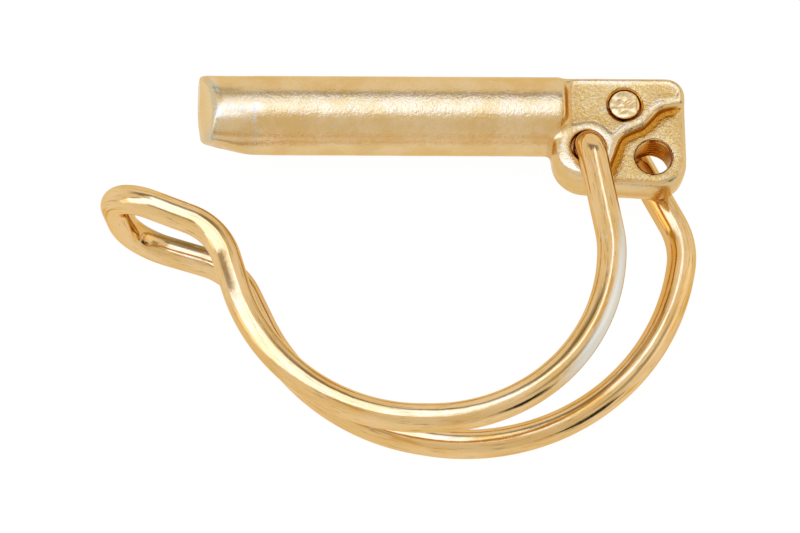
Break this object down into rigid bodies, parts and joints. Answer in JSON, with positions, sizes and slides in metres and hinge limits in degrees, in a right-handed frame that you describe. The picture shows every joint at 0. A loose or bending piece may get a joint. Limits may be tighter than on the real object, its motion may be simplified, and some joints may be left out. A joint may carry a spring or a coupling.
{
  "type": "lynch pin",
  "caption": "Round-shaft lynch pin with a flat forged head and a round-arched spring-wire bail that snaps over the tip to lock the pin in a tube.",
  "frame": {"origin": "on the shaft's axis where the bare shaft begins, level with the front of the head's lobe", "axes": "-X along the shaft to its tip, +X into the head; +Y across the shaft, away from the side the bail hangs on; +Z along the axis the bail turns about, up as the pin lies"},
  "size_m": [0.0755, 0.0502, 0.0182],
  "materials": {
    "pin_zinc": "yellow-passivated zinc plating over a forged, grainy surface",
    "bail_zinc": "yellow-passivated zinc plating over smooth drawn wire"
  },
  "bodies": {
    "pin": {"forged_pin": "pin_zinc"},
    "bail": {"wire_bail": "bail_zinc"}
  },
  "joints": [
    {"name": "bail_swing", "type": "hinge", "parent": "pin", "child": "bail", "pos_m": [0.0044, -0.0053, 0], "axis": [0, 0, 1], "range_deg": [-21, 100], "deforming": ["wire_bail"]}
  ]
}
